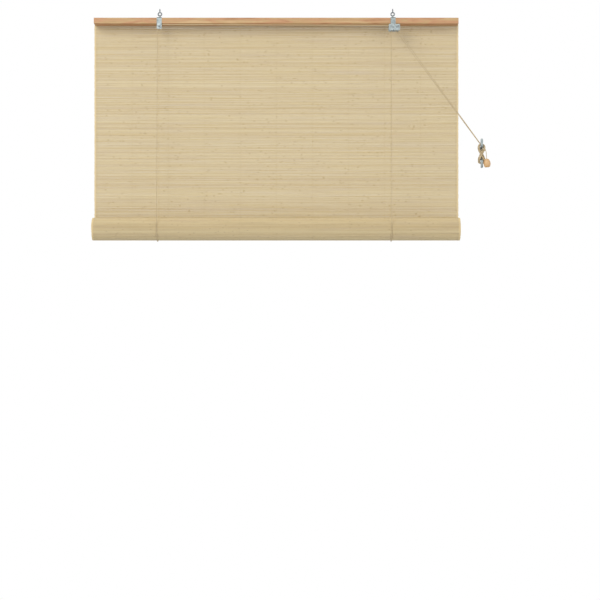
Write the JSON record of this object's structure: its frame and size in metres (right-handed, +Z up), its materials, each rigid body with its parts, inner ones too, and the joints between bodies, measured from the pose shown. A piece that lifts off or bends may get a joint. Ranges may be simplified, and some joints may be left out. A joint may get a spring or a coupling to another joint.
{
  "type": "bamboo roll up blind",
  "caption": "Roll up window blind of bamboo reeds: wooden head rail on screw eyes, rolled mat, lift cords, cord lock, and a wall cleat with wound cord and a wooden knob.",
  "frame": {"origin": "on the ceiling, midway between the two screw eyes", "axes": "+X along the head rail to the cord lock, +Y from the room towards the window, +Z up"},
  "size_m": [1.0686, 0.1626, 0.6376],
  "materials": {
    "rail_wood": "planed softwood, clear",
    "bamboo": "natural split reeds",
    "rod_wood": "plain dowel",
    "zinc_steel": "zinc plated",
    "pulley_plastic": "moulded",
    "roller_steel": "knurled",
    "cord_cotton": "braided cord",
    "knob_wood": "turned, waxed"
  },
  "bodies": {
    "head": {"head_rail": "rail_wood", "hanging_mat": "bamboo", "left_screw_eye": "zinc_steel", "right_screw_eye": "zinc_steel", "left_hanger": "zinc_steel", "right_hanger": "zinc_steel", "hanger_screws": "zinc_steel", "left_pulley_pin": "zinc_steel", "lock_pulley_pin": "zinc_steel", "lock_housing": "zinc_steel", "mat_staples": "zinc_steel", "cord_anchors": "zinc_steel", "left_lift_cord": "cord_cotton", "right_lift_cord": "cord_cotton", "left_back_cord": "cord_cotton", "right_back_cord": "cord_cotton", "cross_cord": "cord_cotton", "pull_cord_rear": "cord_cotton", "pull_cord_front": "cord_cotton", "cleat": "zinc_steel", "cleat_screws": "zinc_steel", "cord_hank": "cord_cotton", "cord_tail": "cord_cotton", "cord_knob": "knob_wood"},
    "left_pulley": {"left_pulley": "pulley_plastic"},
    "lock_pulley": {"lock_pulley": "pulley_plastic"},
    "lock_roller": {"lock_roller": "roller_steel"},
    "lift": {"left_cord_wrap": "cord_cotton", "right_cord_wrap": "cord_cotton"},
    "roll": {"mat_roll": "bamboo", "bottom_rod": "rod_wood"}
  },
  "joints": [
    {"name": "roll_lift", "type": "slide", "parent": "head", "child": "lift", "axis": [0, 0, 1], "range_m": [-0.96, 0.482], "deforming": ["hanging_mat", "left_lift_cord", "right_lift_cord", "left_back_cord", "right_back_cord"]},
    {"name": "roll_turn", "type": "hinge", "parent": "lift", "child": "roll", "pos_m": [0, -0.0123, -0.594], "axis": [1, 0, 0], "continuous": true},
    {"name": "left_pulley_spin", "type": "hinge", "parent": "head", "child": "left_pulley", "pos_m": [-0.318, -0.0161, -0.0423], "axis": [0, 1, 0], "continuous": true},
    {"name": "lock_pulley_spin", "type": "hinge", "parent": "head", "child": "lock_pulley", "pos_m": [0.318, -0.0335, -0.0477], "axis": [0, 1, 0], "continuous": true},
    {"name": "lock_roller_slide", "type": "slide", "parent": "head", "child": "lock_roller", "axis": [0.9397, 0, 0.342], "range_m": [0, 0.003]}
  ],
  "couplings": [
    {"joint": "roll_turn", "follows": "roll_lift", "rad_per_m": -32.258},
    {"joint": "left_pulley_spin", "follows": "roll_lift", "rad_per_m": 400},
    {"joint": "lock_pulley_spin", "follows": "roll_lift", "rad_per_m": 400}
  ]
}
